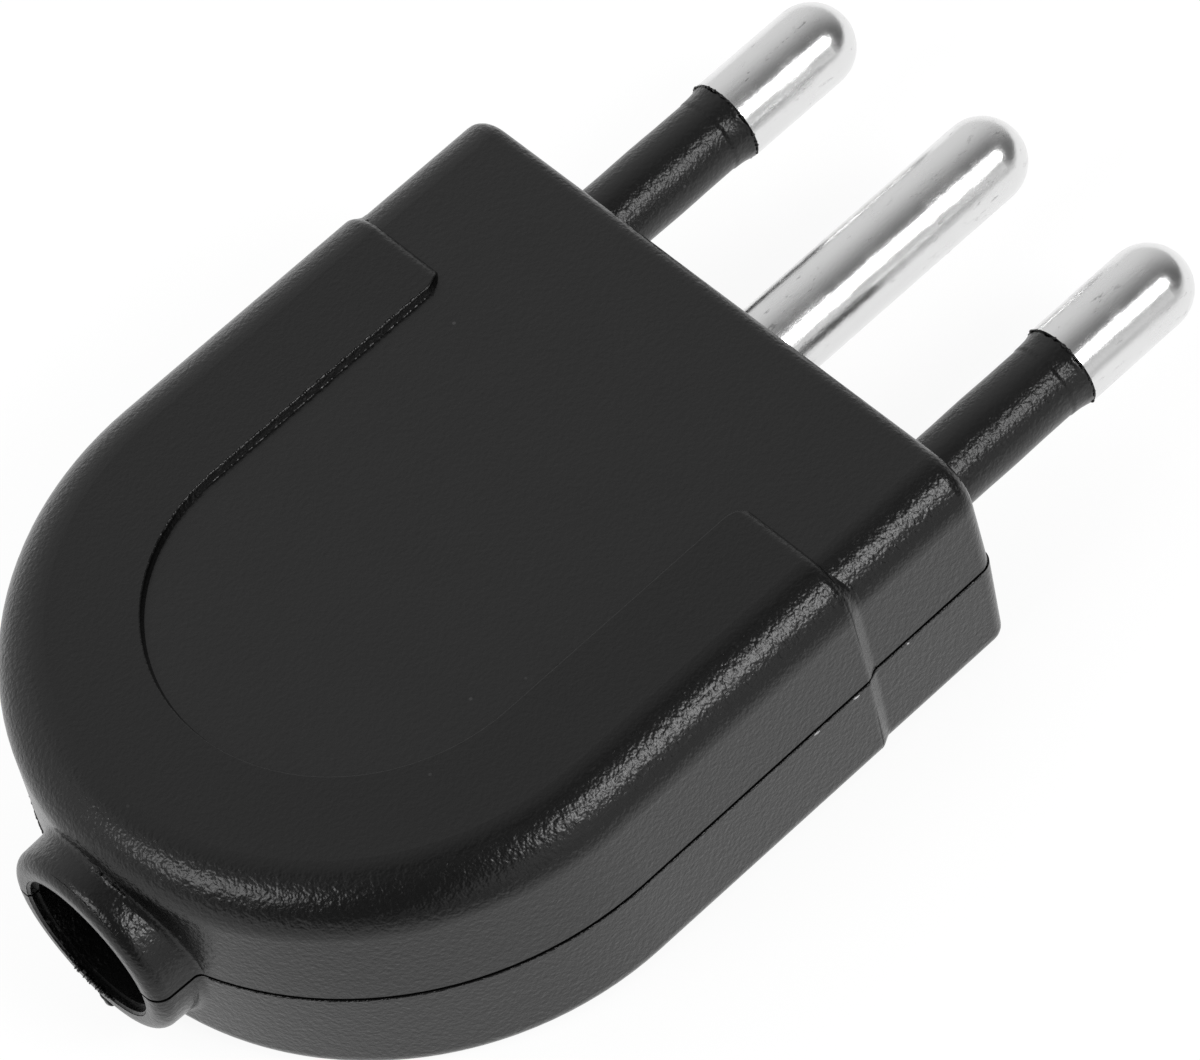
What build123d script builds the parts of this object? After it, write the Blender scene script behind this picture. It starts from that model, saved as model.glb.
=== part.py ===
from build123d import *
from math import cos, radians, tan
import os

# Flat rewireable plug with three round pins in a row, 16 A pattern.
# Two moulded half shells hold the pins, the terminals and the cord clamp between them.
# Units are millimetres. X runs along the row of pins, +Y is the way the pins point, +Z is up.
# The origin is where the axis of the middle pin meets the front face.

# Pins
pin_pitch = 13.0
pin_radius = 2.5
outer_pin_reach = 20.4
earth_pin_reach = 20.8
neck_radius = 1.8
earth_seat_radius = 2.3
groove_radius = 2.3
flange_radius = 3.3
head_radius = 3.5
head_front_y = -6.2
head_length = 9.8
head_top_z = 1.6
head_bottom_z = -2.2
terminal_y = -11.2

# Insulating sleeves on the two outer pins
sleeve_reach = 11.35
sleeve_radius = 2.26
sleeve_lip_radius = 2.48
sleeve_flange_radius = 3.1
sleeve_flange_depth = 0.85

# Outside of the two shells
parting_z = 0.4
draft = 1.0
base_z = -6.75
band_top_z = 8.25
rim_rise = 0.45
band_half = 19.4
rim_half = 19.75
step_y = -9.05
tail_centre_y = -26.0
panel_half = 11.36
panel_wall_lean = 20.0
panel_edge_radius = 0.1
arm_corner_radius = 1.5
band_edge_radius = 2.7
rim_edge_radius = 3.05
base_edge_radius = 1.3
front_edge_radius = 1.0
arm_end_radius = 0.7
lower_front_y = 0.12

# Cable collar at the tail
collar_radius = 5.9
collar_end_y = -47.65
collar_round = 0.95
collar_root_radius = 0.5
mouth_radius = 4.42
mouth_depth = 0.55
cord_radius = 4.2

# Walls and ribs
wall = 1.8
cavity_half = 17.5
front_wall = 2.2
rib_thickness = 1.4
retaining_rib_y = -5.4
rest_rib_ys = (-7.6, -14.6)
hold_rib_ys = (-7.1, -15.2)
hold_rib_thickness = 1.0
partition_xs = (-6.5, 6.5)
partition_end_y = -19.0
cavity_edge_radius = 0.8
lip_width = 0.8
lip_height = 1.0
lip_clearance = 0.12
lip_start_y = -8.0
shadow_gap = 0.2
shadow_depth = 0.85
running_gap = 0.06
slot_gap = 0.1

# Screws that close the housing, and their inserts
housing_screw_places = {
    "front_left": (-6.5, -5.4),
    "front_right": (6.5, -5.4),
    "rear_left": (-12.4, -24.0),
    "rear_right": (12.4, -24.0),
}
boss_radius = 3.0
counterbore_radius = 2.95
counterbore_depth = 2.9
counterbore_wall = 1.0
counterbore_floor = 1.3
screw_hole_radius = 1.6
housing_screw_radius = 1.4
housing_screw_head_radius = 2.7
housing_screw_head_height = 2.0
housing_screw_tip_z = 4.4
insert_radius = 2.1
insert_bore_radius = 1.5
insert_low_z = parting_z + 0.2
insert_high_z = 5.4

# Terminal screws and wire saddles
saddle_half_width = 3.56
saddle_length = 6.4
saddle_thickness = 0.8
saddle_ear_thickness = 0.5
saddle_ear_height = 1.0
terminal_screw_radius = 1.65
terminal_hole_radius = 1.75
terminal_screw_head_radius = 2.6
terminal_screw_head_height = 2.0
terminal_screw_tip_z = -3.4

# Cord clamp
clamp_y = -36.5
clamp_post_x = 8.4
clamp_post_radius = 3.0
clamp_post_top_z = 0.0
clamp_half_length = 11.2
clamp_width = 5.0
clamp_thickness = 2.2
clamp_arch_radius = 5.7
clamp_screw_radius = 1.25
clamp_screw_hole_radius = 1.3
clamp_screw_head_radius = 2.4
clamp_screw_head_height = 1.7
clamp_screw_length = 6.2
grip_groove_radius = 4.6
grip_groove_width = 0.9
grip_groove_offsets = (-1.5, 0.0, 1.5)

# Values that follow from those above
rim_top_z = band_top_z + rim_rise
cavity_floor_z = base_z + wall
cavity_ceiling_z = band_top_z - wall
pin_xs = {"left": -pin_pitch, "earth": 0.0, "right": pin_pitch}
sleeved_pins = ("left", "right")
flange_back_y = retaining_rib_y + rib_thickness / 2 + slot_gap
sleeve_back_y = -front_wall - slot_gap / 2 - sleeve_flange_depth
earth_flange_front_y = -front_wall - slot_gap
screw_seat_z = base_z + counterbore_depth
saddle_top_z = head_top_z + saddle_thickness
clamp_top_z = clamp_post_top_z + clamp_thickness
far = 60.0


def hoof_plan(half_width, front_y, centre_y=tail_centre_y):
    """A plan outline with a straight front, parallel sides and a half-round tail."""
    front = Line((half_width, front_y), (-half_width, front_y))
    left = Line((-half_width, front_y), (-half_width, centre_y))
    tail = ThreePointArc((-half_width, centre_y), (0, centre_y - half_width), (half_width, centre_y))
    right = Line((half_width, centre_y), (half_width, front_y))
    return make_face([front, left, tail, right])


def span(x_low, x_high, y_low, y_high, z_low, z_high):
    """A plain block between two corners."""
    block = Box(x_high - x_low, y_high - y_low, z_high - z_low)
    return Pos((x_low + x_high) / 2, (y_low + y_high) / 2, (z_low + z_high) / 2) * block


def post(radius, x, y, z_low, z_high):
    """An upright cylinder."""
    return Pos(x, y, (z_low + z_high) / 2) * Cylinder(radius, z_high - z_low)


def rod(radius, x, y_low, y_high):
    """A cylinder that lies along Y on the height of the pin axes."""
    return Pos(x, (y_low + y_high) / 2, 0) * Rot(90, 0, 0) * Cylinder(radius, y_high - y_low)


def upright(plan, z_low, z_high):
    """A plan outline raised between two heights, with square sides."""
    return extrude(Pos(0, 0, z_low) * plan, amount=z_high - z_low)


def edges_at_height(shape, z, tolerance=0.01):
    return shape.edges().filter_by_position(Axis.Z, z - tolerance, z + tolerance)


def front_outline(block, front_y):
    """The edges round the front end of a half, without the one on the parting plane."""
    near_front = block.edges().filter_by_position(Axis.Y, front_y - 0.2, front_y + 0.2)
    return [edge for edge in near_front if edge.center().Z > 0.05]


def rim_half_form(height, edge_radius):
    """One half of the hoof-shaped rear, drawn up from the parting plane with moulding draft."""
    block = extrude(hoof_plan(rim_half, step_y), amount=height, taper=draft)
    outer_edge = [edge for edge in edges_at_height(block, height) if edge.center().Y < step_y - 1]
    block = fillet(outer_edge, edge_radius)
    return fillet(front_outline(block, step_y), arm_end_radius)


def band_half_form(height, edge_radius, front_y):
    """One half of the plain front, slightly narrower than the rear."""
    depth = 4 - step_y
    plan = Pos(0, front_y - depth / 2) * Rectangle(2 * band_half, depth)
    block = extrude(plan, amount=height, taper=draft)
    block = fillet(edges_at_height(block, height).filter_by(Axis.Y), edge_radius)
    return fillet(front_outline(block, front_y), front_edge_radius)


def panel_plan(half_width):
    """The outline of the sunk panel, with the inner corners of the rim's two arms rounded off."""
    corner_x = half_width + arm_corner_radius
    corner_y = step_y - arm_corner_radius
    front_y = step_y + 2
    bulge = arm_corner_radius * (1 - cos(radians(45)))
    right = Line((corner_x, front_y), (corner_x, step_y))
    arc_middle = (half_width + bulge, step_y - bulge)
    right_corner = ThreePointArc((corner_x, step_y), arc_middle, (half_width, corner_y))
    right_wall = Line((half_width, corner_y), (half_width, tail_centre_y))
    tail_middle = (0, tail_centre_y - half_width)
    tail = ThreePointArc((half_width, tail_centre_y), tail_middle, (-half_width, tail_centre_y))
    left_side = [mirror(edge, about=Plane.YZ) for edge in (right, right_corner, right_wall)]
    front = Line((-corner_x, front_y), (corner_x, front_y))
    return make_face([right, right_corner, right_wall, tail, front] + left_side)


def sunk_panel():
    """What is taken out of the raised rim: a hoof-shaped panel whose wall leans outwards."""
    depth = rim_rise + 0.55
    low = Pos(0, 0, band_top_z) * panel_plan(panel_half)
    high = Pos(0, 0, band_top_z + depth) * panel_plan(panel_half + depth * tan(radians(panel_wall_lean)))
    return loft([low, high], ruled=True)


def raised_rim():
    """The hoof-shaped rear of the upper shell with the panel sunk into it and its edge eased."""
    height = band_top_z - parting_z + rim_rise
    block = Pos(0, 0, parting_z) * rim_half_form(height, rim_edge_radius) - sunk_panel()
    top_edges = edges_at_height(block, rim_top_z)
    inner_edge = [edge for edge in top_edges if edge.bounding_box().max.X < rim_half - 4]
    return fillet(inner_edge, panel_edge_radius)


def cable_collar():
    """The round cable collar: a rounded end and a short barrel that runs into the tail."""
    root_y = tail_centre_y - cavity_half - 0.2
    crown = Line((0, collar_end_y), (collar_radius - collar_round, collar_end_y))
    end_round = RadiusArc(crown @ 1, (collar_radius, collar_end_y + collar_round), -collar_round)
    barrel = Line(end_round @ 1, (collar_radius + 0.1, root_y))
    back = Line(barrel @ 1, (0, root_y))
    axis_line = Line(back @ 1, crown @ 0)
    profile = make_face([crown, end_round, barrel, back, axis_line])
    return revolve(profile, Axis.Y)


def with_collar(rear, other_half):
    """Adds one half of the cable collar to the tail and fills the corner between them."""
    joined = rear + (cable_collar() - other_half)
    root = []
    for edge in joined.edges():
        middle = edge.center()
        from_axis = (middle.X**2 + middle.Z**2) ** 0.5
        on_tail = tail_centre_y - rim_half - 0.5 < middle.Y < tail_centre_y - cavity_half
        if on_tail and abs(from_axis - collar_radius) < 0.7 and abs(middle.Z - parting_z) > 0.05:
            root.append(edge)
    return fillet(root, collar_root_radius)


def upper_outside():
    """The outside of the upper shell: its front lies level with the panel, and the rim stands up."""
    front = Pos(0, 0, parting_z) * band_half_form(band_top_z - parting_z, band_edge_radius, 0)
    below = span(-far, far, -far, far, -far, parting_z)
    return with_collar(raised_rim(), below) + front


def lower_outside():
    """The outside of the lower shell: one flat base under the front and the rear."""
    height = parting_z - base_z
    rear_form = rim_half_form(height, base_edge_radius)
    front_form = band_half_form(height, base_edge_radius, lower_front_y)
    rear = Pos(0, 0, parting_z) * mirror(rear_form, about=Plane.XY)
    front = Pos(0, 0, parting_z) * mirror(front_form, about=Plane.XY)
    above = span(-far, far, -far, far, parting_z, far)
    return with_collar(rear, above) + front


def cavity_form():
    """The hollow inside both shells, with rounded edges along its floor and ceiling."""
    block = upright(hoof_plan(cavity_half, -front_wall), cavity_floor_z, cavity_ceiling_z)
    long_edges = edges_at_height(block, cavity_floor_z) + edges_at_height(block, cavity_ceiling_z)
    return fillet(long_edges, cavity_edge_radius)


def cable_passage():
    """The way in for the cord: a shallow mouth with a rounded edge, then the bore to the hollow."""
    rounding = 0.15
    bore_end_y = tail_centre_y - cavity_half + 1
    start = Line((0, collar_end_y - 1), (mouth_radius + rounding, collar_end_y - 1))
    outer = Line(start @ 1, (mouth_radius + rounding, collar_end_y))
    edge = RadiusArc(outer @ 1, (mouth_radius, collar_end_y + rounding), -rounding)
    mouth = Line(edge @ 1, (mouth_radius, collar_end_y + mouth_depth))
    ledge = Line(mouth @ 1, (cord_radius, collar_end_y + mouth_depth))
    bore = Line(ledge @ 1, (cord_radius, bore_end_y))
    back = Line(bore @ 1, (0, bore_end_y))
    axis_line = Line(back @ 1, start @ 0)
    profile = make_face([start, outer, edge, mouth, ledge, bore, back, axis_line])
    return revolve(profile, Axis.Y)


def pin_slots(in_lower_shell):
    """Round seats for the pins in the front wall and in the retaining rib, open at the parting."""
    rib_back_y = retaining_rib_y - rib_thickness
    slots = []
    for name, x in pin_xs.items():
        front_radius = sleeve_radius if name in sleeved_pins else earth_seat_radius
        shoulder_radius = sleeve_radius if name in sleeved_pins else pin_radius
        for radius, y_low, y_high in (
            (front_radius + running_gap, -front_wall - 0.5, 0.5),
            (shoulder_radius + running_gap, 0, 0.5),
            (groove_radius + running_gap, rib_back_y, retaining_rib_y + rib_thickness),
        ):
            slots.append(rod(radius, x, y_low, y_high))
            if in_lower_shell:
                slots.append(span(x - radius, x + radius, y_low, y_high, 0, parting_z + 0.5))
    return slots


def cross_rib(y, thickness, z_low, z_high):
    """A rib from side wall to side wall."""
    reach = cavity_half + 0.6
    return span(-reach, reach, y - thickness / 2, y + thickness / 2, z_low, z_high)


def partition_walls(z_low, z_high):
    """The two walls that keep the wires of neighbouring terminals apart."""
    half = rib_thickness / 2
    start_y = retaining_rib_y
    return [span(x - half, x + half, partition_end_y, start_y, z_low, z_high) for x in partition_xs]


def lip_ring(inner_half, outer_half, z_low, z_high):
    """A strip along the side and tail walls, broken where the cord comes in."""
    ring_plan = hoof_plan(outer_half, lip_start_y) - hoof_plan(inner_half, lip_start_y + 1)
    ring = upright(ring_plan, z_low, z_high)
    gap_half = collar_radius + 0.6
    return ring - span(-gap_half, gap_half, -far, tail_centre_y, z_low - 1, z_high + 1)


def seam_recess():
    """The fine shadow line round the outside where the two shells meet."""
    outer = upright(Rectangle(4 * far, 4 * far), parting_z - shadow_gap / 2, parting_z + shadow_gap / 2)
    inner_plan = hoof_plan(band_half - shadow_depth, -shadow_depth)
    return outer - upright(inner_plan, parting_z - 1, parting_z + 1)


def clamp_cradle_groove():
    """The round bed of the cord in the clamp, with three deeper grooves that leave grip ribs."""
    bed = rod(cord_radius, 0, clamp_y - clamp_width, clamp_y + clamp_width)
    half = grip_groove_width / 2
    for offset in grip_groove_offsets:
        bed += rod(grip_groove_radius, 0, clamp_y + offset - half, clamp_y + offset + half)
    return bed


def upper_shell_form(cavity):
    """The upper half shell with its bosses, ribs and the rebate for the lower shell's lip."""
    embed_z = cavity_ceiling_z + 0.6
    shell = upper_outside() - cavity
    shell += cross_rib(retaining_rib_y, rib_thickness, parting_z, embed_z)
    for y in hold_rib_ys:
        shell += cross_rib(y, hold_rib_thickness, head_top_z + running_gap, embed_z)
    for wall_piece in partition_walls(parting_z + 0.2, embed_z):
        shell += wall_piece
    for x, y in housing_screw_places.values():
        shell += post(boss_radius, x, y, parting_z, embed_z)
        shell -= post(insert_radius, x, y, parting_z - 1, insert_high_z)
    for slot in pin_slots(in_lower_shell=False):
        shell -= slot
    rebate_half = cavity_half + lip_width + lip_clearance
    shell -= lip_ring(cavity_half - 0.5, rebate_half, parting_z - 1, parting_z + lip_height + lip_clearance)
    shell -= cable_passage()
    return shell - seam_recess()


def lower_shell_form(cavity):
    """The lower half shell with its lip, rest ribs, screw wells, clamp posts and cord cradle."""
    embed_z = cavity_floor_z - 0.6
    tube_top_z = screw_seat_z + counterbore_floor
    shell = lower_outside() - cavity
    shell += cross_rib(retaining_rib_y, rib_thickness, embed_z, parting_z)
    for y in rest_rib_ys:
        shell += cross_rib(y, rib_thickness, embed_z, head_bottom_z)
    for wall_piece in partition_walls(embed_z, parting_z):
        shell += wall_piece
    cradle = Pos(0, clamp_y) * Rectangle(2 * clamp_post_x, clamp_width)
    shell += upright(cradle, embed_z, clamp_post_top_z - 1.2)
    for x in (-clamp_post_x, clamp_post_x):
        shell += post(clamp_post_radius, x, clamp_y, embed_z, clamp_post_top_z)
        shell -= post(clamp_screw_hole_radius, x, clamp_y, cavity_floor_z + 0.5, clamp_post_top_z + 1)
    shell -= clamp_cradle_groove()
    for x, y in housing_screw_places.values():
        shell += post(counterbore_radius + counterbore_wall, x, y, embed_z, tube_top_z)
        shell += post(boss_radius, x, y, embed_z, parting_z)
    for x, y in housing_screw_places.values():
        shell -= post(counterbore_radius, x, y, base_z - 1, screw_seat_z)
        shell -= post(screw_hole_radius, x, y, base_z - 1, parting_z + 1)
    for slot in pin_slots(in_lower_shell=True):
        shell -= slot
    shell += lip_ring(cavity_half, cavity_half + lip_width, parting_z - 0.3, parting_z + lip_height)
    shell -= cable_passage()
    return shell - seam_recess()


def pin_head_cuts(blank, x):
    """Mills the two flats on the head of a pin and drills the hole for its terminal screw."""
    head_back_y = head_front_y - head_length
    reach = head_radius + 1
    blank -= span(x - reach, x + reach, head_back_y - 1, head_front_y, head_top_z, reach)
    blank -= span(x - reach, x + reach, head_back_y - 1, head_front_y, -reach, head_bottom_z)
    return blank - post(terminal_hole_radius, x, terminal_y, -reach, reach)


def contact_pin(x, tip_y, shoulder):
    """A turned pin: a domed contact end, the shoulder given as (radius, y) points, and its head."""
    dome = RadiusArc((0, tip_y), (pin_radius, tip_y - pin_radius), pin_radius)
    head_back_y = head_front_y - head_length
    chamfer = 0.4
    outline = Polyline(
        dome @ 1,
        *shoulder,
        (flange_radius, flange_back_y),
        (groove_radius, flange_back_y),
        (groove_radius, head_front_y),
        (head_radius, head_front_y),
        (head_radius, head_back_y + chamfer),
        (head_radius - chamfer, head_back_y),
        (0, head_back_y),
        (0, tip_y),
    )
    profile = make_face([dome, outline])
    return pin_head_cuts(Pos(x, 0, 0) * revolve(profile, Axis.Y), x)


def sleeved_pin(x):
    """An outer pin, thinner where the insulating sleeve sits."""
    shoulder = (
        (pin_radius, sleeve_reach),
        (neck_radius, sleeve_reach),
        (neck_radius, sleeve_back_y),
        (flange_radius, sleeve_back_y),
    )
    return contact_pin(x, outer_pin_reach, shoulder)


def earth_pin():
    """The middle pin, bare along its whole length, with a thinner seat inside the front wall."""
    shoulder = (
        (pin_radius, 0),
        (earth_seat_radius, 0),
        (earth_seat_radius, earth_flange_front_y),
        (flange_radius, earth_flange_front_y),
    )
    return contact_pin(0, earth_pin_reach, shoulder)


def sleeve(x):
    """The moulded sleeve of an outer pin: a thin tube with a flange in the wall and a flared lip."""
    bore_radius = neck_radius + 0.02
    flange_front_y = sleeve_back_y + sleeve_flange_depth
    lip_start = (sleeve_radius, sleeve_reach - 0.95)
    lip_end = (sleeve_lip_radius, sleeve_reach - 0.12)
    lip_middle = (sleeve_radius + 0.13, sleeve_reach - 0.4)
    lip = Spline(lip_start, lip_middle, lip_end, tangents=[(0, 1), (0.1, 1)])
    tube = Polyline(
        lip_end,
        (sleeve_lip_radius - 0.08, sleeve_reach),
        (bore_radius, sleeve_reach),
        (bore_radius, sleeve_back_y),
        (sleeve_flange_radius, sleeve_back_y),
        (sleeve_flange_radius, flange_front_y),
        (sleeve_radius, flange_front_y),
        lip_start,
    )
    return Pos(x, 0, 0) * revolve(make_face([lip, tube]), Axis.Y)


def wire_saddle(x):
    """A bent saddle over the head of a pin, with two ears that keep it from turning."""
    outer = saddle_half_width + saddle_ear_thickness
    y_low = terminal_y - saddle_length / 2
    y_high = terminal_y + saddle_length / 2
    ear_low_z = saddle_top_z - saddle_thickness - saddle_ear_height
    saddle = span(x - outer, x + outer, y_low, y_high, ear_low_z, saddle_top_z)
    saddle = fillet(saddle.edges().filter_by(Axis.Y).group_by(Axis.Z)[-1], saddle_thickness - 0.1)
    inner = saddle_half_width
    saddle -= span(x - inner, x + inner, y_low - 1, y_high + 1, ear_low_z - 1, head_top_z)
    return saddle - post(terminal_hole_radius + 0.1, x, terminal_y, 0, saddle_top_z + 1)


def slotted_screw(x, y, seat_z, head_size, head_height, shank_radius, shank_length):
    """A cheese-head screw that stands on its seat, with a straight slot across the head."""
    head = post(head_size, x, y, seat_z, seat_z + head_height)
    head = fillet(head.edges().group_by(Axis.Z)[-1], 0.35)
    head -= span(x - head_size, x + head_size, y - 0.4, y + 0.4, seat_z + head_height - 1, seat_z + 9)
    shank = post(shank_radius, x, y, seat_z - shank_length, seat_z)
    return head + chamfer(shank.edges().group_by(Axis.Z)[0], 0.3)


def housing_screw(x, y):
    """A pan-head screw that stands upside down in its well, with a cross recess in the head."""
    head_low_z = screw_seat_z - housing_screw_head_height
    head = post(housing_screw_head_radius, x, y, head_low_z, screw_seat_z)
    head = fillet(head.edges().group_by(Axis.Z)[0], 0.8)
    for half_x, half_y in ((1.35, 0.32), (0.32, 1.35)):
        head -= span(x - half_x, x + half_x, y - half_y, y + half_y, head_low_z - 1, head_low_z + 1.1)
    shank = post(housing_screw_radius, x, y, screw_seat_z, housing_screw_tip_z)
    return head + chamfer(shank.edges().group_by(Axis.Z)[-1], 0.4)


def threaded_insert(x, y):
    """A brass bush moulded into its boss in the upper shell, with two grooves that anchor it."""
    bush = post(insert_radius - 0.02, x, y, insert_low_z, insert_high_z)
    bush -= post(insert_bore_radius, x, y, 0, insert_high_z + 1)
    for z in (insert_low_z + 1.2, insert_low_z + 2.9):
        ring = post(insert_radius + 1, x, y, z, z + 0.7) - post(insert_radius - 0.3, x, y, z - 1, z + 2)
        bush -= ring
    return bush


def cord_clamp():
    """The clamp bar: two flat ears on the posts and an arch over the cord with grip ribs below."""
    ears = SlotOverall(2 * clamp_half_length, clamp_width)
    bar = Pos(0, clamp_y) * upright(ears, clamp_post_top_z, clamp_top_z)
    half_width = clamp_width / 2
    arch = rod(clamp_arch_radius, 0, clamp_y - half_width, clamp_y + half_width)
    arch = fillet(arch.edges().filter_by(GeomType.CIRCLE), 0.5)
    arch -= span(-far, far, -far, far, -far, clamp_post_top_z)
    bar = bar + arch - clamp_cradle_groove()
    for x in (-clamp_post_x, clamp_post_x):
        bar -= post(clamp_screw_hole_radius + 0.2, x, clamp_y, -1, clamp_top_z + 1)
    return bar


def clamp_screw(x):
    """One of the two screws that draw the clamp bar down on the cord."""
    head = (clamp_screw_head_radius, clamp_screw_head_height)
    return slotted_screw(x, clamp_y, clamp_top_z, *head, clamp_screw_radius, clamp_screw_length)


def terminal_screw(x):
    """The screw that presses a wire saddle on to the head of its pin."""
    head = (terminal_screw_head_radius, terminal_screw_head_height)
    length = saddle_top_z - terminal_screw_tip_z
    return slotted_screw(x, terminal_y, saddle_top_z, *head, terminal_screw_radius, length)


def all_pieces():
    """Every separate piece of the plug by name."""
    cavity = cavity_form()
    pieces = {"upper_shell": upper_shell_form(cavity), "lower_shell": lower_shell_form(cavity)}
    for side, x in pin_xs.items():
        pieces["pin_" + side] = sleeved_pin(x) if side in sleeved_pins else earth_pin()
        pieces["wire_saddle_" + side] = wire_saddle(x)
        pieces["terminal_screw_" + side] = terminal_screw(x)
    for side in sleeved_pins:
        pieces["sleeve_" + side] = sleeve(pin_xs[side])
    pieces["cord_clamp"] = cord_clamp()
    for side, x in (("left", -clamp_post_x), ("right", clamp_post_x)):
        pieces["clamp_screw_" + side] = clamp_screw(x)
    for side, (x, y) in housing_screw_places.items():
        pieces["housing_screw_" + side] = housing_screw(x, y)
        pieces["threaded_insert_" + side] = threaded_insert(x, y)
    return pieces


os.makedirs("parts", exist_ok=True)
for name, piece in all_pieces().items():
    print(name, round(piece.volume, 2), len(piece.solids()), piece.is_valid)
    export_step(piece, "parts/" + name + ".step")
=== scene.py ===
from math import cos, pi, radians, sin, tan

import bpy
import numpy as np
from mathutils import Matrix, Vector


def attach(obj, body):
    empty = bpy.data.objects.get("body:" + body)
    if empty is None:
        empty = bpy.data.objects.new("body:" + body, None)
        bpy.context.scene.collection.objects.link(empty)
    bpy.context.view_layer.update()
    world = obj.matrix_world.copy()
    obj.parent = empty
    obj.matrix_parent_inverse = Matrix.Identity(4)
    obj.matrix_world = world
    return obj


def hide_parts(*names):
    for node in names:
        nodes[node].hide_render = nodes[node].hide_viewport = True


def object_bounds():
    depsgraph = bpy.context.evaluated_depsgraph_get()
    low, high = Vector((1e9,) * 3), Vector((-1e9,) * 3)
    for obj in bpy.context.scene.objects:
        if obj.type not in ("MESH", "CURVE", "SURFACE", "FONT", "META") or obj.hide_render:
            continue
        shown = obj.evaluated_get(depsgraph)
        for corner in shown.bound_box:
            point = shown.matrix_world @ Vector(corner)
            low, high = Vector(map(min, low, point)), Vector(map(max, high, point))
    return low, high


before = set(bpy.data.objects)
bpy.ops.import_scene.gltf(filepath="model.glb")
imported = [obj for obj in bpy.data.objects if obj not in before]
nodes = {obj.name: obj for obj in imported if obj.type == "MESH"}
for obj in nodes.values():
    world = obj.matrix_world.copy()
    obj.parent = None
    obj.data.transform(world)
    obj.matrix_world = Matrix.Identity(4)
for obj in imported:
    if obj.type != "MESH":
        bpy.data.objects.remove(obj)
cad_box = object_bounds()


# The two half shells
# Both are pressed from black thermoset in a finely pebbled mould, so the skin is matt and its
# highlights break up into worm-like glints. Screws from below draw the halves together.

class Signal:
    """A shader socket that takes part in arithmetic: each operation adds its Math node."""

    def __init__(self, tree, socket):
        self.tree = tree
        self.socket = socket

    def maths(self, operation, *values):
        return self.tree.node("ShaderNodeMath", {"operation": operation}, dict(enumerate(values)))

    def __add__(self, other):
        return self.maths("ADD", self, other)

    def __sub__(self, other):
        return self.maths("SUBTRACT", self, other)

    def __mul__(self, other):
        return self.maths("MULTIPLY", self, other)

    def __rsub__(self, other):
        return self.maths("SUBTRACT", other, self)

    __radd__ = __add__
    __rmul__ = __mul__

    def greater(self, other):
        return self.maths("MAXIMUM", self, other)

    def smaller(self, other):
        return self.maths("MINIMUM", self, other)

    def root(self):
        return self.maths("SQRT", self)

    def sine(self):
        return self.maths("SINE", self)

    def between(self, low, high):
        """0 below low, 1 above high and a smooth rise from one to the other."""
        settings = {"interpolation_type": "SMOOTHSTEP"}
        return self.tree.node("ShaderNodeMapRange", settings, {0: self, 1: low, 2: high})


class Tree:
    """A node tree for Signals: one method adds nodes, another fills or links a socket."""

    def __init__(self, owner, coordinates):
        owner.use_nodes = True
        self.nodes = owner.node_tree.nodes
        self.links = owner.node_tree.links
        self.place = self.node("ShaderNodeTexCoord", {}, {}, coordinates)

    def node(self, kind, settings, inputs, output=0):
        added = self.nodes.new(kind)
        for key, value in settings.items():
            setattr(added, key, value)
        for key, value in inputs.items():
            self.feed(added.inputs[key], value)
        return Signal(self, added.outputs[output])

    def feed(self, socket, value):
        if isinstance(value, Signal):
            self.links.new(value.socket, socket)
        else:
            socket.default_value = value

    def axis(self, index):
        """One of the coordinates: 0 is x or east, 1 is y or north, 2 is z or height."""
        return self.node("ShaderNodeSeparateXYZ", {}, {0: self.place}, index)


class Finish(Tree):
    """A material whose Principled shader is fed by expressions on Signals."""

    def __init__(self, name, **constants):
        self.material = bpy.data.materials.new(name)
        super().__init__(self.material, "Object")
        self.shader = self.nodes["Principled BSDF"]
        self.set(**constants)

    def set(self, **inputs):
        for socket_name, value in inputs.items():
            self.feed(self.shader.inputs[socket_name.replace("_", " ")], value)

    def noise(self, scale, detail, roughness=0.5):
        """Fractal noise whose lumps are 1/scale metres wide."""
        inputs = {"Vector": self.place, "Scale": scale, "Detail": detail, "Roughness": roughness}
        return self.node("ShaderNodeTexNoise", {}, inputs)

    def drawn_noise(self, across, along, detail, roughness):
        """Fractal noise that is stretched along y, with a scale across and one along that axis."""
        stretch = {0: self.place, 1: (across, along, across)}
        vector = self.node("ShaderNodeVectorMath", {"operation": "MULTIPLY"}, stretch)
        inputs = {"Vector": vector, "Scale": 1.0, "Detail": detail, "Roughness": roughness}
        return self.node("ShaderNodeTexNoise", {}, inputs)

    def cells(self, scale, feature="F1"):
        """Distances to scattered points that lie about 1/scale metres apart."""
        inputs = {"Vector": self.place, "Scale": scale}
        return self.node("ShaderNodeTexVoronoi", {"feature": feature}, inputs)

    def blend(self, factor, first, second):
        """A colour between two colours."""
        settings = {"data_type": "RGBA"}
        return self.node("ShaderNodeMix", settings, {0: factor, 6: first, 7: second}, 2)

    def bump(self, height, distance):
        """A Bump node: height is a Signal from about 0 to 1, distance its relief in metres."""
        return self.node("ShaderNodeBump", {}, {"Height": height, "Distance": distance})


def grey(level):
    """A colour of one level, a trace colder than neutral."""
    return (level, level, level * 1.01, 1.0)


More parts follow.
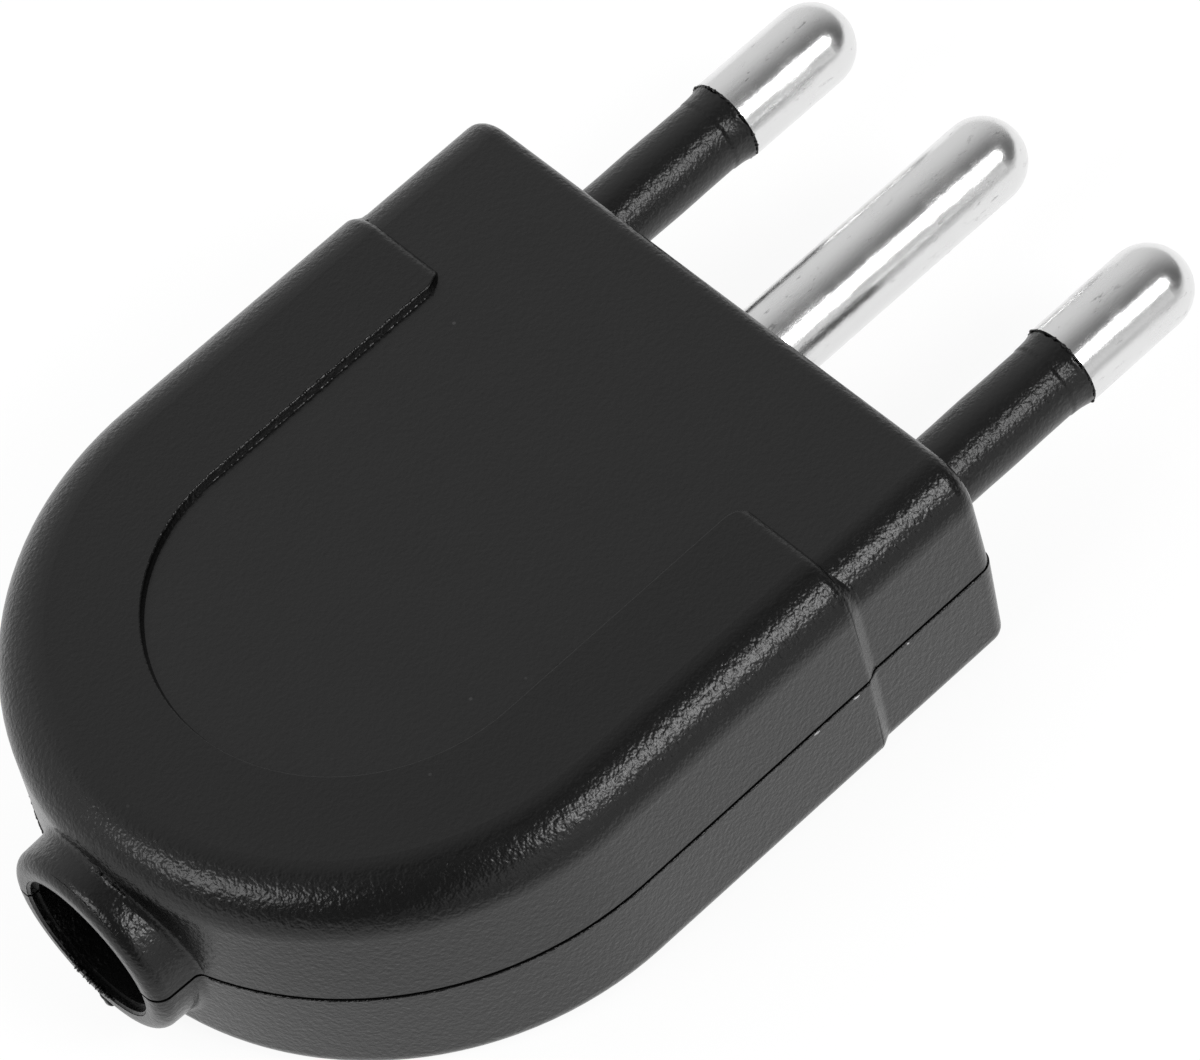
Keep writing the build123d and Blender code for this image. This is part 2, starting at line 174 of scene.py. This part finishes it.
def moulded_black(name, tone, grain, relief, matt=0.225):
    """Black moulded plastic: worm-like pebbles with a finer tooth, faint clouds and pale specks.

    The tone is the base colour, the grain the number of pebbles a metre and the relief their
    height in metres. Faces that look straight up were pressed by the polished punch and keep a
    third of the relief. Upright ones, along which the part leaves the mould, keep two thirds.
    The top of the rim is darkest."""
    finish = Finish(name, IOR=1.5, Specular_IOR_Level=0.41)
    worms = finish.noise(grain, 1.0)
    pebbles = finish.cells(grain * 0.75, "SMOOTH_F1")
    tooth = finish.noise(grain * 2.0, 1.0)
    normal = finish.node("ShaderNodeNewGeometry", {}, {}, "Normal")
    upward = finish.node("ShaderNodeSeparateXYZ", {}, {0: normal}, 2)
    off_upright = upward.between(0.05, 0.4)
    pressed_flat = upward.between(0.95, 0.99)
    relief_share = 0.65 + off_upright * 0.35 - pressed_flat * 0.65
    on_rim = finish.axis(2).between(0.0084, 0.0086)
    clouds = finish.noise(240.0, 3.0)
    specks = 1.0 - finish.cells(420.0).between(0.03, 0.05)
    dust = specks * finish.noise(90.0, 1.0).between(0.55, 0.7)
    skin = finish.blend(clouds, grey(tone * 0.7), grey(tone * 1.3))
    skin = finish.blend(on_rim * 0.85, skin, grey(0.0))
    finish.set(
        Base_Color=finish.blend(dust * 0.5, skin, grey(0.1)),
        Roughness=matt + tooth * 0.1,
        Normal=finish.bump((worms + pebbles * 0.4 + tooth * 0.15 - 0.8) * relief_share, relief),
    )
    return finish.material


def dress(node, material):
    """Gives a CAD node its finish."""
    slots = nodes[node].data.materials
    for index in range(len(slots)):
        slots[index] = material
    if not slots:
        slots.append(material)


shell_grain = 3800.0
shell_black = moulded_black("shell_black", 0.0035, shell_grain, 0.000042)
dress("lower_shell", shell_black)
dress("upper_shell", shell_black)


# The flash at the seam
# Where the two mould halves met, a thin uneven fringe of plastic was squeezed out and trimmed off.
# What is left of it rounds the lower lip of the seam, and a few torn flakes are coloured pale grey.

mm = 0.001
parting_z = 0.4
seam_gap = 0.2
seam_low = parting_z - seam_gap / 2
band_half = 19.4
rim_half = 19.75
step_y = -9.05
tail_centre_y = -26.0
point_spacing = 0.06
both_sides = (("right", 1), ("left", -1))


def ripple(along, seed, waves=9, finest=0.25, coarsest=4.0):
    """An uneven line between about -1 and 1: a sum of sines of mixed lengths at seeded phases."""
    random = np.random.default_rng(seed)
    lengths = np.geomspace(finest, coarsest, waves)
    phases = random.uniform(0, 2 * pi, waves)
    parts = [np.sin(2 * pi * along / length + phase) for length, phase in zip(lengths, phases)]
    return np.sum(parts, axis=0) / waves**0.5


def surface(name, points, material, wrap_rows=False, caps=False):
    """A smooth mesh over a grid of points in millimetres: rows along the piece, columns round it.

    Each face joins four neighbours. The columns always close on themselves. The rows close too for
    a ring, or get a cap at each end."""
    rows, columns = points.shape[:2]
    numbers = np.arange(rows * columns).reshape(rows, columns)
    ahead = np.roll(numbers, -1, axis=0) if wrap_rows else numbers[1:]
    here = numbers if wrap_rows else numbers[:-1]
    corners = [here, np.roll(here, -1, axis=1), np.roll(ahead, -1, axis=1), ahead]
    faces = [tuple(face) for face in np.stack(corners, axis=-1).reshape(-1, 4).tolist()]
    if caps:
        faces += [tuple(numbers[0][::-1].tolist()), tuple(numbers[-1].tolist())]
    mesh = bpy.data.meshes.new(name)
    mesh.from_pydata((points.reshape(-1, 3) * mm).tolist(), [], faces)
    mesh.polygons.foreach_set("use_smooth", np.ones(len(faces), dtype=bool))
    mesh.materials.append(material)
    piece = bpy.data.objects.new(name, mesh)
    bpy.context.scene.collection.objects.link(piece)
    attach(piece, "root")
    return piece


def hoof_line(half_width, side, start_y, end_angle, height, straight_x=None):
    """A hoof-shaped line at one height and the directions out of it, in evenly spaced points.

    It runs straight back from start_y and then round the tail's centre to end_angle in degrees.
    The straight part may swerve: straight_x then gives its distance from the middle."""
    straight_y = np.arange(start_y, tail_centre_y, -point_spacing)
    if straight_x is None:
        straight_x = np.full_like(straight_y, half_width)
    angles = np.radians(np.arange(0, end_angle, point_spacing / half_width * 180 / pi))
    x = np.concatenate([straight_x, half_width * np.cos(angles)])
    y = np.concatenate([straight_y, tail_centre_y - half_width * np.sin(angles)])
    out_x = np.concatenate([np.ones_like(straight_x), np.cos(angles)])
    out_y = np.concatenate([np.zeros_like(straight_x), -np.sin(angles)])
    level = np.full_like(x, height)
    path = np.stack([x * side, y, level], axis=1)
    return path, np.stack([out_x * side, out_y, level * 0], axis=1)


def bead(name, path, across, rise, thickness, material, flatness=1.0):
    """A thin bead of plastic along a path: at each point an oval round it, of the radius thickness
    along the direction across and of flatness times that along the direction rise."""
    handed = np.sign(np.cross(across[0], rise[0]) @ (path[1] - path[0]))
    turn = np.linspace(0, 2 * pi, 8, endpoint=False) * -handed
    out = across[:, None, :] * (thickness[:, None] * np.cos(turn))[..., None]
    up = rise[:, None, :] * (thickness[:, None] * flatness * np.sin(turn))[..., None]
    return surface(name, path[:, None, :] + out + up, material, caps=True)


torn_flash = moulded_black("torn_flash", 0.55, shell_grain, 0.00001)
flash_front_y = -1.1
flash_end_angle = 71.0
flash_drop = 0.035
flake_points = 11
flake_proud, flake_drop, flake_tilt = 0.07, 0.06, 0.03
flake_places = {  # the y of each flake's middle and half its length
    "right": ((-6.6, 0.1), (-10.7, 0.22), (-13.6, 0.22)),
    "left": ((-5.0, 0.12), (-14.0, 0.2)),
}

for name, side in both_sides:
    straight_y = np.arange(flash_front_y, tail_centre_y, -point_spacing)
    past_step = np.clip((step_y - 0.1 - straight_y) / 0.6, 0, 1)
    straight_x = band_half + (rim_half - band_half) * (3 * past_step**2 - 2 * past_step**3)
    flash_z = seam_low - flash_drop
    path, outward = hoof_line(rim_half, side, flash_front_y, flash_end_angle, flash_z, straight_x)
    upright = np.zeros_like(path) + (0, 0, 1)
    along = np.arange(len(path)) * point_spacing
    front_share = np.clip(1 + path[:, 1] / 14, 0, 1)
    at_step = np.exp(-(((path[:, 1] - step_y + 0.1) / 0.3) ** 2))
    uneven = np.clip(ripple(along, 3 + side), -1, 1)
    thickness = 0.06 + 0.015 * front_share + 0.028 * uneven - 0.04 * at_step
    bead("seam_flash_" + name, path, outward, upright, thickness, shell_black)
    for number, (flake_y, flake_half) in enumerate(flake_places[name]):
        ends = np.linspace(-1, 1, flake_points)
        wall_there = band_half if flake_y > step_y else rim_half
        x = np.full(flake_points, (wall_there + flake_proud) * side)
        y = flake_y - ends * flake_half
        z = seam_low - flake_drop + ends * flake_tilt
        flake = np.stack([x, y, z], axis=1)
        thickness = 0.002 + 0.06 * np.sqrt(1 - ends**2)
        out_there, up_there = outward[:flake_points], upright[:flake_points]
        bead(f"torn_flake_{name}_{number}", flake, out_there, up_there, thickness, torn_flash)


# The step between the front and the rim
# The rim is a little wider than the plain front. In the mould the step between them is a soft ramp,
# which fills the corner from the seam up to the rounded top edge, and down to the base.

wall_lean = tan(radians(1.0))
ramp = np.array([  # how far the ramp stands out from the front's wall, and at which y
    (0.331, -9.654), (0.311, -9.56), (0.283, -9.481), (0.25, -9.415), (0.2, -9.317),
    (0.15, -9.222), (0.1, -9.125), (0.056, -9.03), (0.025, -8.94), (0.007, -8.85),
    (0.0, -8.76), (-0.008, -8.66), (-0.03, -8.58), (-0.1, -8.7), (-0.1, -9.6),
])
halves = (("upper", 1, 5.2, 2.7), ("lower", -1, 5.8, 1.3))  # name, up or down, wall, edge radius

for name, side in both_sides:
    for half, direction, wall_height, edge_radius in halves:
        # The ramp's outline goes up along the leaning wall and then round the edge, sinking in.
        rise = np.linspace(seam_gap / 2, wall_height, 24)[:, None]
        bend = np.radians(np.linspace(0, 62, 14))[1:, None]
        wall_x = band_half + ramp[:, 0] - rise * wall_lean
        centre_x = band_half - edge_radius - wall_height * wall_lean
        fading_reach = edge_radius + ramp[:, 0] - 0.3 * np.clip(bend - 0.6, 0, 1)
        x = np.concatenate([wall_x, centre_x + fading_reach * np.cos(bend)])
        z = np.concatenate([rise + 0 * wall_x, wall_height + fading_reach * np.sin(bend)])
        y = np.broadcast_to(ramp[:, 1], x.shape)
        points = np.stack([x * side, y, parting_z + z * direction], axis=-1)
        if side * direction > 0:
            points = points[:, ::-1]
        surface(f"step_ramp_{name}_{half}", points, shell_black, caps=True)


# The edges of the panel
# The punch that pressed the sunk panel left fine broken beads on the left arm: one in the corner
# between the panel and the leaning wall of the rim, and one along the top of that wall.

bead_front_y = -10.8
bead_end_angle = 60
fade_length = 18
level_share, upright_share = 0.77, 0.64  # of the slope that the oval beads lie on

for name, half_width, height, size in (("foot", 11.39, 8.26, 0.09), ("lip", 11.56, 8.69, 0.1)):
    path, outward = hoof_line(half_width, -1, bead_front_y, bead_end_angle, height)
    upright = np.zeros_like(path) + (0, 0, 1)
    along = np.arange(len(path)) * point_spacing
    fade = np.clip((along[-1] - along) / fade_length, 0, 1)
    broken = np.clip(0.6 + ripple(along, 10, 7, 0.25, 1.6) * 0.7, 0, 1.1)
    thickness = 0.015 + size * broken * fade
    along_slope = outward * level_share + upright * upright_share
    off_slope = upright * level_share - outward * upright_share
    bead("panel_" + name, path, along_slope, off_slope, thickness, shell_black, flatness=0.4)


# The edges of the collar
# Broken beads of flash lie in the corner between collar and tail and on the collar's outer edge.
# Crumbs hang in the mouth, and one larger chip on its lower edge, where the gate was broken off.

degrees_apart, spacing_there = 0.5, 0.05
taper_length = 0.8
tail_radius = 19.66
collar_edge_y = -47.35
mouth_y = -47.6


def collar_ring(radius, start_angle, end_angle, y_of_x):
    """An arc about the cable's axis, its outward directions and the axis direction.

    The angles are in degrees from the top, and y_of_x gives the arc's y for each x."""
    turn = np.radians(np.arange(start_angle, end_angle, degrees_apart))
    outward = np.stack([np.sin(turn), np.zeros_like(turn), np.cos(turn)], axis=1)
    path = outward * radius
    path[:, 1] = y_of_x(path[:, 0])
    return path, outward, np.zeros_like(path) + (0, 1, 0)


def behind_tail(x):
    """The y just behind the tail's wall, which is half a circle when seen from above."""
    return tail_centre_y - np.sqrt(tail_radius**2 - x**2) - 0.2


for name, radius, start_angle, end_angle, y_of_x, size, seed in (
    ("collar_root_bead", 6.09, 2, 31, behind_tail, 0.048, 5),
    ("collar_edge_bead", 5.66, -14, 40, lambda x: x * 0 + collar_edge_y, 0.042, 6),
    ("mouth_crumbs", 4.5, 172, 222, lambda x: x * 0 + mouth_y, 0.22, 7),
):
    path, outward, forward = collar_ring(radius, start_angle, end_angle, y_of_x)
    along = np.arange(len(path)) * spacing_there
    taper = np.clip(np.minimum(along, along[-1] - along) / taper_length, 0, 1)
    broken = np.clip(0.25 + ripple(along, seed, 8, 0.15, 1.5), 0, 1)
    bead(name, path, outward, forward, 0.006 + size * taper * broken, shell_black)

# The chip is an egg lying across the mouth, made lumpy by a wave of three and one of five a turn.
chip_centre = np.array([-0.5, -47.28, -5.76])
chip_radii = np.array([0.55, 0.36, 0.42])
polar = np.linspace(0.02, pi - 0.02, 22)[:, None]
turn = np.linspace(0, 2 * pi, 32, endpoint=False)[None, :]
off_poles = np.sin(polar)
lumps = 1 + 0.16 * np.sin(3 * turn + 2 * polar) * off_poles
lumps = lumps + 0.1 * np.sin(5 * turn - 3 * polar) * off_poles
chip_points = np.stack([
    np.broadcast_to(np.cos(polar), lumps.shape) * lumps,
    off_poles * np.sin(turn) * lumps,
    off_poles * np.cos(turn) * lumps,
], axis=-1) * chip_radii + chip_centre
surface("mouth_chip", chip_points[::-1], shell_black, caps=True)


# The sleeves of the outer pins
# Each is moulded in black plastic on to its pin. The front end swells into a lip with an uneven,
# flashed edge, and a hidden flange inside the front wall holds the sleeve.

sleeve_black = moulded_black("sleeve_black", 0.0035, 4200.0, 0.00004, 0.27)
lip_radius = 2.45
lip_y = 11.3
bore_radius = 1.82
sleeve_profile = np.array([  # radius and y, forward over the outside and back through the bore
    (1.83, -3.1), (3.0, -3.1), (3.09, -3.08), (3.1, -3.0), (3.1, -2.35), (3.09, -2.27),
    (3.0, -2.25), (2.32, -2.25), (2.27, -2.24), (2.26, -2.2), (2.26, -1.0), (2.26, 0.4),
    (2.26, 1.5), (2.26, 2.6), (2.26, 3.7), (2.26, 4.8), (2.26, 5.9), (2.26, 7.0),
    (2.26, 7.9), (2.258, 8.7), (2.25, 9.3), (2.243, 9.75), (2.243, 9.93), (2.285, 9.98),
    (2.296, 10.2), (2.312, 10.4), (2.338, 10.6), (2.374, 10.8), (2.415, 10.98), (2.452, 11.14),
    (2.47, 11.26), (2.465, 11.335), (2.44, 11.35), (2.2, 11.35), (1.9, 11.35),
    (bore_radius, 11.3), (bore_radius, 11.1), (bore_radius, 4.0), (bore_radius, -2.9),
    (bore_radius, -3.08),
])

for name, x, seed in (("sleeve_left", -13.0, 21), ("sleeve_right", 13.0, 34)):
    # The profile is turned about the pin's axis. Waves round the pin move its radius near the lip,
    # and push its front edge back in jags.
    radius, y = sleeve_profile[:, 0][:, None], sleeve_profile[:, 1][:, None]
    turn = np.linspace(0, 2 * pi, 128, endpoint=False)[None, :]
    near_lip = np.clip((y - 9.4) / 1.6, 0, 1) ** 2
    at_front = np.clip((y - 10.9) / 0.4, 0, 1)
    outside = (radius > 2.0) * np.clip((y - 0.4) / 1.2, 0, 1)
    wave = 0.5 * np.sin(2 * turn + seed) + 0.3 * np.sin(5 * turn + 2 * seed)
    wave = wave + 0.25 * np.sin(11 * turn + 3 * seed)
    jags = np.sin(7 * turn + seed) + 0.8 * np.sin(13 * turn + 2 * seed)
    jags = jags + 0.7 * np.sin(22 * turn + 3 * seed)
    thinner_side = 0.5 + 0.5 * np.cos(turn + 1.0)
    sag = 0.012 * np.sin(1.3 * y + 2 * turn + seed)
    lip_change = near_lip * (0.02 * wave - 0.02 - 0.06 * thinner_side)
    shape_radius = radius + outside * (sag + lip_change)
    notches = 0.03 * near_lip * np.clip(wave, 0, 1) + 0.1 * at_front * np.clip(jags, 0, 1.5)
    points = np.stack([
        x + shape_radius * np.sin(turn),
        np.broadcast_to(y - notches, shape_radius.shape),
        shape_radius * np.cos(turn),
    ], axis=-1)
    piece = surface(name + "_moulding", points, sleeve_black, wrap_rows=True)
    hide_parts(name)
    turn = np.linspace(0, 2 * pi, 361)
    outward = np.stack([np.sin(turn), 0 * turn, np.cos(turn)], axis=1)
    forward = np.zeros_like(outward) + (0, 1, 0)
    edge = outward * lip_radius + (x, lip_y, 0)
    thickness = 0.015 + 0.1 * np.clip(ripple(turn, seed, 8, 0.12, 1.2) - 0.1, 0, 1)
    bead(name + "_edge", edge, outward, forward, thickness, sleeve_black)


# The pins
# Turned from brass and nickel plated. Drawing and tumbling left fine lines along each pin and a
# skin that is bright but not quite even.

nickel = Finish("nickel_plate", Metallic=1.0)
drawn = nickel.drawn_noise(4200.0, 1300.0, 3.0, 0.6)
sway = nickel.drawn_noise(420.0, 160.0, 1.0, 0.5)
scuffs = nickel.drawn_noise(2600.0, 800.0, 4.0, 0.7).between(0.6, 0.7)
patches = nickel.noise(330.0, 2.0).between(0.45, 0.62)
tumbled = nickel.noise(7000.0, 2.0)
bright_nickel, dull_nickel = (0.7, 0.7, 0.7, 1.0), (0.3, 0.3, 0.3, 1.0)
skin_height = sway * 0.4 + drawn * (0.08 + patches * 0.25) + tumbled * 0.1
nickel.set(
    Base_Color=nickel.blend(scuffs * (0.3 + patches * 0.5), bright_nickel, dull_nickel),
    Roughness=0.15 + drawn * 0.12 + patches * 0.06 + scuffs * 0.1,
    Normal=nickel.bump(skin_height, 0.000036),
)
for name in ("pin_left", "pin_right", "pin_earth"):
    dress(name, nickel.material)


# The saddles and the screws
# Stamped and cold-headed steel with a thin zinc coat, which dulls to a fine mottled grey. The heads
# carry faint rings from the heading die.

ring_phase_per_metre = 22000.0


def zinc_steel(name, centres):
    """Zinc on steel: a fine mottle, pores, and rings round upright axes given as (x, y) in mm.

    The rings are a sine of the distance to the nearest axis."""
    finish = Finish(name, Metallic=1.0)
    mottle = finish.noise(900.0, 4.0, 0.65)
    pores = finish.cells(2600.0)
    height = mottle * 0.5 + pores * 0.3
    x, y = finish.axis(0), finish.axis(1)
    nearest = None
    for centre_x, centre_y in centres:
        across, along = x - centre_x * mm, y - centre_y * mm
        distance = (across * across + along * along).root()
        nearest = distance if nearest is None else nearest.smaller(distance)
    if nearest is not None:
        height = height + (nearest * ring_phase_per_metre).sine() * 0.12
    finish.set(
        Base_Color=finish.blend(mottle, (0.5, 0.5, 0.49, 1.0), (0.68, 0.68, 0.66, 1.0)),
        Roughness=0.28 + mottle * 0.25,
        Normal=finish.bump(height, 0.000008),
    )
    return finish.material


terminal_screws = [(-13.0, -11.2), (0.0, -11.2), (13.0, -11.2)]
clamp_screws = [(-8.4, -36.5), (8.4, -36.5)]
housing_screws = [(-6.5, -5.4), (6.5, -5.4), (-12.4, -24.0), (12.4, -24.0)]
saddle_steel = zinc_steel("saddle_steel", [])
screw_steel = zinc_steel("screw_steel", terminal_screws + clamp_screws + housing_screws)
for name in nodes:
    if "saddle" in name:
        dress(name, saddle_steel)
    if "screw" in name:
        dress(name, screw_steel)


# The cord clamp
# A moulded bar of black nylon, smoother than the shells and a little greyer. Two screws pull it
# down on the cord.

clamp_black = moulded_black("clamp_black", 0.02, 2400.0, 0.00001)
dress("cord_clamp", clamp_black)


# The threaded inserts
# Brass bushes, turned on an automatic lathe and left as they came off it. They are pressed into the
# upper shell and take the housing screws.

brass = Finish("insert_brass", Metallic=1.0)
lathe_phase_per_metre = 30000.0
lathe_lines = (brass.axis(2) * lathe_phase_per_metre).sine()
tarnish = brass.noise(700.0, 4.0, 0.6)
brass.set(
    Base_Color=brass.blend(tarnish, (0.58, 0.4, 0.16, 1.0), (0.78, 0.6, 0.3, 1.0)),
    Roughness=0.25 + tarnish * 0.2,
    Normal=brass.bump(lathe_lines * 0.3 + tarnish * 0.3, 0.000008),
)
for name in nodes:
    if "insert" in name:
        dress(name, brass.material)


# The table
# A white sheet of paper without an edge. To the eye it glows evenly and keeps only a faint shadow;
# in mirrored light its glow is painted brighter, and painted darker beside and behind the plug,
# and from below it can be seen through.

reach = 3.0
table_z = cad_box[0][2] - 0.02 * mm
corners = [(x * reach, y * reach, table_z) for x, y in ((-1, -1), (1, -1), (1, 1), (-1, 1))]
table_mesh = bpy.data.meshes.new("table_top")
table_mesh.from_pydata(corners, [], [(0, 1, 2, 3)])
table = bpy.data.objects.new("table_top", table_mesh)
bpy.context.scene.collection.objects.link(table)

paper = Finish("table_white", Roughness=0.9, Base_Color=(0.9, 0.9, 0.9, 1.0))
mirrored = paper.node("ShaderNodeLightPath", {}, {}, "Is Glossy Ray")
passed = paper.node("ShaderNodeLightPath", {}, {}, "Is Transmission Ray")
seen = paper.node("ShaderNodeLightPath", {}, {}, "Is Camera Ray").greater(mirrored).greater(passed)
# Painted reflection and painted shade: glossy rays see the sheet glow a little brighter, and darker
# beside and behind the plug.
beside, behind = paper.axis(0).between(0.03, 0.055), (0.0 - paper.axis(1)).between(0.036, 0.06)
glow = 1.06 + mirrored * 0.14 - mirrored * (beside * 0.55 + behind * 0.3)
white = paper.node("ShaderNodeEmission", {}, {"Color": (1.0, 1.0, 1.0, 1.0), "Strength": glow})
lit = Signal(paper, paper.shader.outputs[0])
from_above = paper.node("ShaderNodeMixShader", {}, {0: seen * 0.86, 1: lit, 2: white})
back_face = paper.node("ShaderNodeNewGeometry", {}, {}, "Backfacing")
clear = paper.node("ShaderNodeBsdfTransparent", {}, {})
shown = paper.node("ShaderNodeMixShader", {}, {0: back_face, 1: from_above, 2: clear})
paper.feed(paper.nodes["Material Output"].inputs["Surface"], shown)
table_mesh.materials.append(paper.material)


# The room and its lamps
# A dim room whose light falls off from left to right, with a pale patch far on the right. A softbox
# with a brighter core stands on the right of the front, and a wide one behind the tail.

world = bpy.data.worlds.new("dim_room")
bpy.context.scene.world = world
room = Tree(world, "Generated")
east = room.axis(0)
west_glow = (0.0 - east).between(-0.5, 0.92) * 0.72
east_glow = east.between(0.78, 0.95) * 0.75
background = room.nodes["Background"].inputs
room.feed(background["Strength"], 0.15 + west_glow + east_glow)
room.feed(background["Color"], (1.0, 1.0, 1.0, 1.0))


def softbox(name, direction, distance, width, height, watts):
    """A rectangular lamp that faces the plug from the given direction."""
    lamp = bpy.data.lights.new(name, "AREA")
    lamp.shape = "RECTANGLE"
    lamp.size = width
    lamp.size_y = height
    lamp.energy = watts
    holder = bpy.data.objects.new(name, lamp)
    toward = Vector(direction).normalized()
    holder.location = toward * distance + Vector((0, -0.02, 0))
    holder.rotation_euler = toward.to_track_quat("Z", "Y").to_euler()
    bpy.context.scene.collection.objects.link(holder)


side_direction = (0.704, 0.297, 0.646)
softbox("side_softbox", side_direction, 1.2, 0.55, 0.42, 4.5)
softbox("side_softbox_core", side_direction, 1.19, 0.27, 0.2, 1.25)
softbox("rear_softbox", (-0.1, -0.76, 0.645), 1.2, 0.62, 0.36, 3.6)


# The camera
# A long lens that looks down on the plug from behind its right side, tilted as in the photograph.

azimuth, elevation, roll = radians(59.998), radians(53.575), radians(-16.43)
away, shift_across, shift_up = 427.868, -7.582, -8.396
focal_pixels, frame_pixels, sensor_width = 8000.05, 1200, 36
back = Vector((sin(azimuth) * cos(elevation), -cos(azimuth) * cos(elevation), sin(elevation)))
right = Vector((cos(azimuth), sin(azimuth), 0))
up = back.cross(right)
across = right * cos(roll) + up * sin(roll)
upward = up * cos(roll) - right * sin(roll)
place = (back * away + across * shift_across + upward * shift_up) * mm
lens = bpy.data.cameras.new("camera")
lens.sensor_width = sensor_width
lens.lens = focal_pixels / frame_pixels * sensor_width
lens.clip_start = 0.01
lens.clip_end = 20
camera = bpy.data.objects.new("camera", lens)
turned = Matrix((across, upward, back)).transposed().to_4x4()
camera.matrix_world = Matrix.Translation(place) @ turned
bpy.context.scene.collection.objects.link(camera)
bpy.context.scene.camera = camera
bpy.context.scene.view_settings.view_transform = "Standard"
